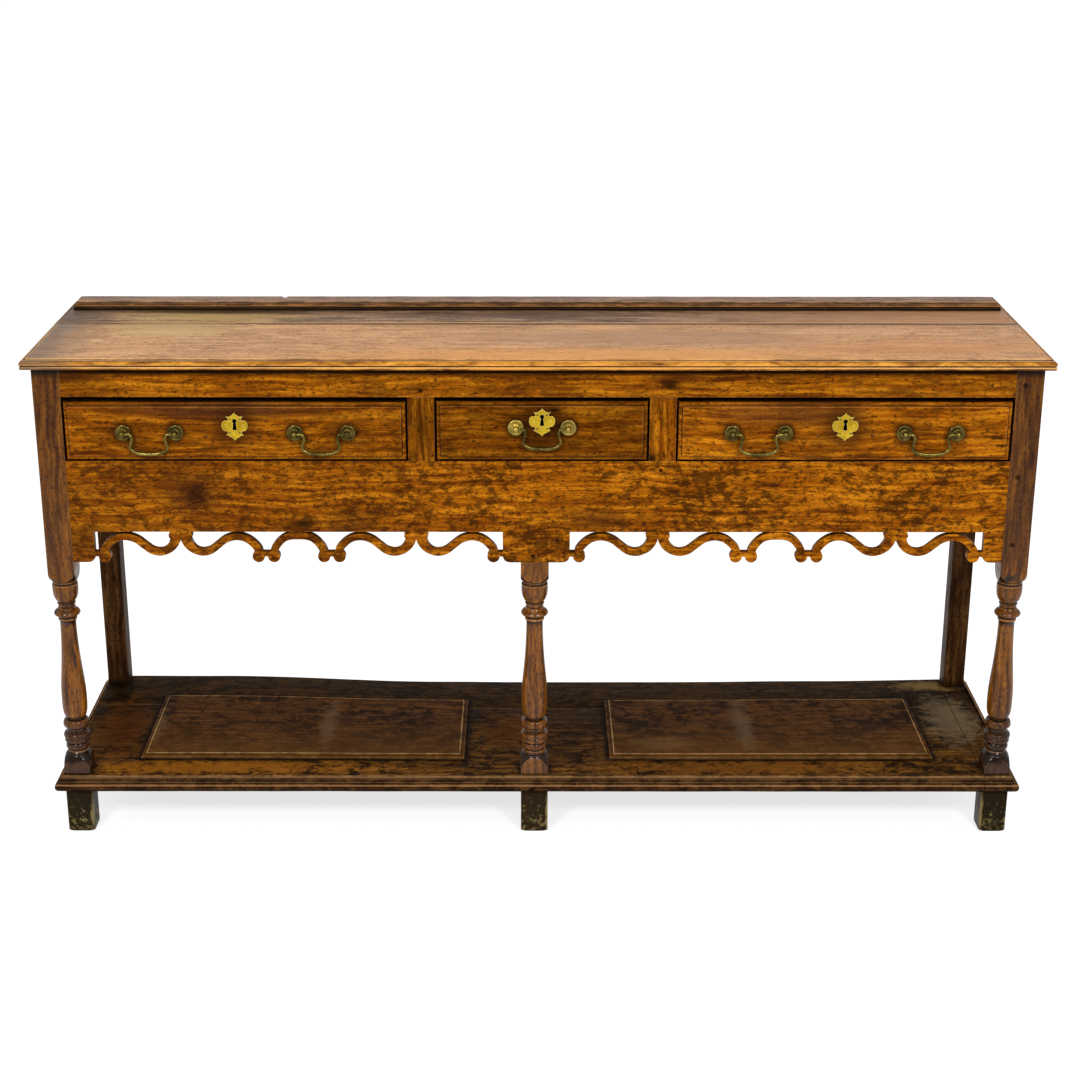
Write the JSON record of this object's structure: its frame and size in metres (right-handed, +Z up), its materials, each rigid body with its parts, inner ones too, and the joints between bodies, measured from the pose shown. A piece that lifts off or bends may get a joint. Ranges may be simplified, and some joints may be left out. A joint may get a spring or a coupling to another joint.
{
  "type": "welsh dresser",
  "caption": "Low oak dresser base with a moulded top, drawers over a pierced fret apron, turned front legs and a pot board.",
  "frame": {"origin": "on the floor, under the middle of the bounding box", "axes": "+X along the length to the right as seen from the front, +Y towards the back, +Z up"},
  "size_m": [1.752, 0.4696, 0.911],
  "materials": {
    "oak_front": "old waxed oak, golden brown, satin",
    "oak_post": "old waxed oak, red brown, satin",
    "oak_top": "old waxed oak, worn, satin",
    "oak_pot_board": "dark worn oak",
    "oak_inside": "dry unwaxed oak",
    "brass_handle": "dull antique brass",
    "brass_plate": "antique brass"
  },
  "bodies": {
    "root": {"apron": "oak_front", "back_panel": "oak_inside", "back_post_left": "oak_post", "back_post_right": "oak_post", "end_panel_left": "oak_post", "end_panel_right": "oak_post", "front_leg_middle": "oak_post", "front_post_left": "oak_post", "front_post_right": "oak_post", "muntin_left": "oak_front", "muntin_right": "oak_front", "pot_board_back_plank": "oak_pot_board", "pot_board_bearer_left": "oak_pot_board", "pot_board_bearer_right": "oak_pot_board", "pot_board_edge_strip_left": "oak_pot_board", "pot_board_edge_strip_right": "oak_pot_board", "pot_board_front_plank": "oak_pot_board", "pot_board_raised_panel_left": "oak_pot_board", "pot_board_raised_panel_right": "oak_pot_board", "runner_left_end": "oak_inside", "runner_left_muntin": "oak_inside", "runner_right_end": "oak_inside", "runner_right_muntin": "oak_inside", "top_back_board": "oak_top", "top_front_board": "oak_top", "top_ledge": "oak_top", "top_rail": "oak_front"},
    "left_drawer": {"left_drawer_back": "oak_inside", "left_drawer_bottom": "oak_inside", "left_drawer_escutcheon": "brass_plate", "left_drawer_front": "oak_front", "left_drawer_left_bail_rose_left": "brass_handle", "left_drawer_left_bail_rose_right": "brass_handle", "left_drawer_right_bail_rose_left": "brass_handle", "left_drawer_right_bail_rose_right": "brass_handle", "left_drawer_side_left": "oak_inside", "left_drawer_side_right": "oak_inside"},
    "middle_drawer": {"middle_drawer_back": "oak_inside", "middle_drawer_bail_rose_left": "brass_handle", "middle_drawer_bail_rose_right": "brass_handle", "middle_drawer_bottom": "oak_inside", "middle_drawer_escutcheon": "brass_plate", "middle_drawer_front": "oak_front", "middle_drawer_side_left": "oak_inside", "middle_drawer_side_right": "oak_inside"},
    "right_drawer": {"right_drawer_back": "oak_inside", "right_drawer_bottom": "oak_inside", "right_drawer_escutcheon": "brass_plate", "right_drawer_front": "oak_front", "right_drawer_left_bail_rose_left": "brass_handle", "right_drawer_left_bail_rose_right": "brass_handle", "right_drawer_right_bail_rose_left": "brass_handle", "right_drawer_right_bail_rose_right": "brass_handle", "right_drawer_side_left": "oak_inside", "right_drawer_side_right": "oak_inside"},
    "left_drawer_left_bail": {"left_drawer_left_bail": "brass_handle"},
    "left_drawer_right_bail": {"left_drawer_right_bail": "brass_handle"},
    "middle_drawer_bail": {"middle_drawer_bail": "brass_handle"},
    "right_drawer_left_bail": {"right_drawer_left_bail": "brass_handle"},
    "right_drawer_right_bail": {"right_drawer_right_bail": "brass_handle"}
  },
  "joints": [
    {"name": "left_drawer_slide", "type": "slide", "parent": "root", "child": "left_drawer", "axis": [0, -1, 0], "range_m": [0, 0.3]},
    {"name": "left_drawer_left_bail_swing", "type": "hinge", "parent": "left_drawer", "child": "left_drawer_left_bail", "pos_m": [-0.665, -0.22975, 0.7644], "axis": [-1, 0, 0], "range_deg": [-10, 100]},
    {"name": "left_drawer_right_bail_swing", "type": "hinge", "parent": "left_drawer", "child": "left_drawer_right_bail", "pos_m": [-0.371, -0.22975, 0.7644], "axis": [-1, 0, 0], "range_deg": [-10, 100]},
    {"name": "middle_drawer_slide", "type": "slide", "parent": "root", "child": "middle_drawer", "axis": [0, -1, 0], "range_m": [0, 0.3]},
    {"name": "middle_drawer_bail_swing", "type": "hinge", "parent": "middle_drawer", "child": "middle_drawer_bail", "pos_m": [0.007, -0.22975, 0.774], "axis": [-1, 0, 0], "range_deg": [-10, 100]},
    {"name": "right_drawer_slide", "type": "slide", "parent": "root", "child": "right_drawer", "axis": [0, -1, 0], "range_m": [0, 0.3]},
    {"name": "right_drawer_left_bail_swing", "type": "hinge", "parent": "right_drawer", "child": "right_drawer_left_bail", "pos_m": [0.378, -0.22975, 0.7644], "axis": [-1, 0, 0], "range_deg": [-10, 100]},
    {"name": "right_drawer_right_bail_swing", "type": "hinge", "parent": "right_drawer", "child": "right_drawer_right_bail", "pos_m": [0.672, -0.22975, 0.7644], "axis": [-1, 0, 0], "range_deg": [-10, 100]}
  ]
}
